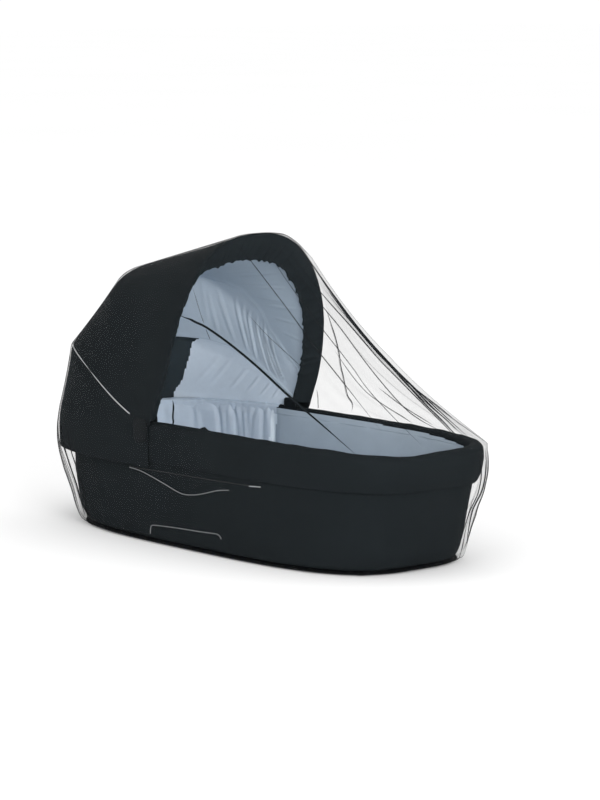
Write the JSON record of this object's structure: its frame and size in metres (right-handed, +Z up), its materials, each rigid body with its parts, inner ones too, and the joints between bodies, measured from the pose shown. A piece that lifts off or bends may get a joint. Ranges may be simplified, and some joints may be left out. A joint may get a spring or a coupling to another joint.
{
  "type": "stroller mosquito net on a carrycot with hood",
  "caption": "Fine black mosquito net with an elastic hem, pulled over a black carrycot and its raised hood as a see-through tent from the hood to the foot end.",
  "frame": {"origin": "on the flat underside of the carrycot, on its centre line", "axes": "+X to the foot end along the cot, +Y to the far side, +Z up"},
  "size_m": [1.0606, 0.4289, 0.5982],
  "materials": {
    "net_mesh": "fine sheer knitted mesh",
    "black_fabric": "plain woven, matte",
    "grey_lining": "soft woven, matte",
    "bow_metal": "drawn tube",
    "black_plastic": "moulded, matte"
  },
  "bodies": {
    "root": {"net": "net_mesh", "hood_cover": "black_fabric", "hood_flange": "black_fabric", "hood_lining": "grey_lining", "bow_front": "bow_metal", "bow_middle": "bow_metal", "bow_back": "bow_metal", "bracket_near": "black_plastic", "bracket_far": "black_plastic", "rim_band": "black_fabric", "cot_shell": "black_fabric", "cot_lining": "grey_lining"}
  },
  "joints": []
}
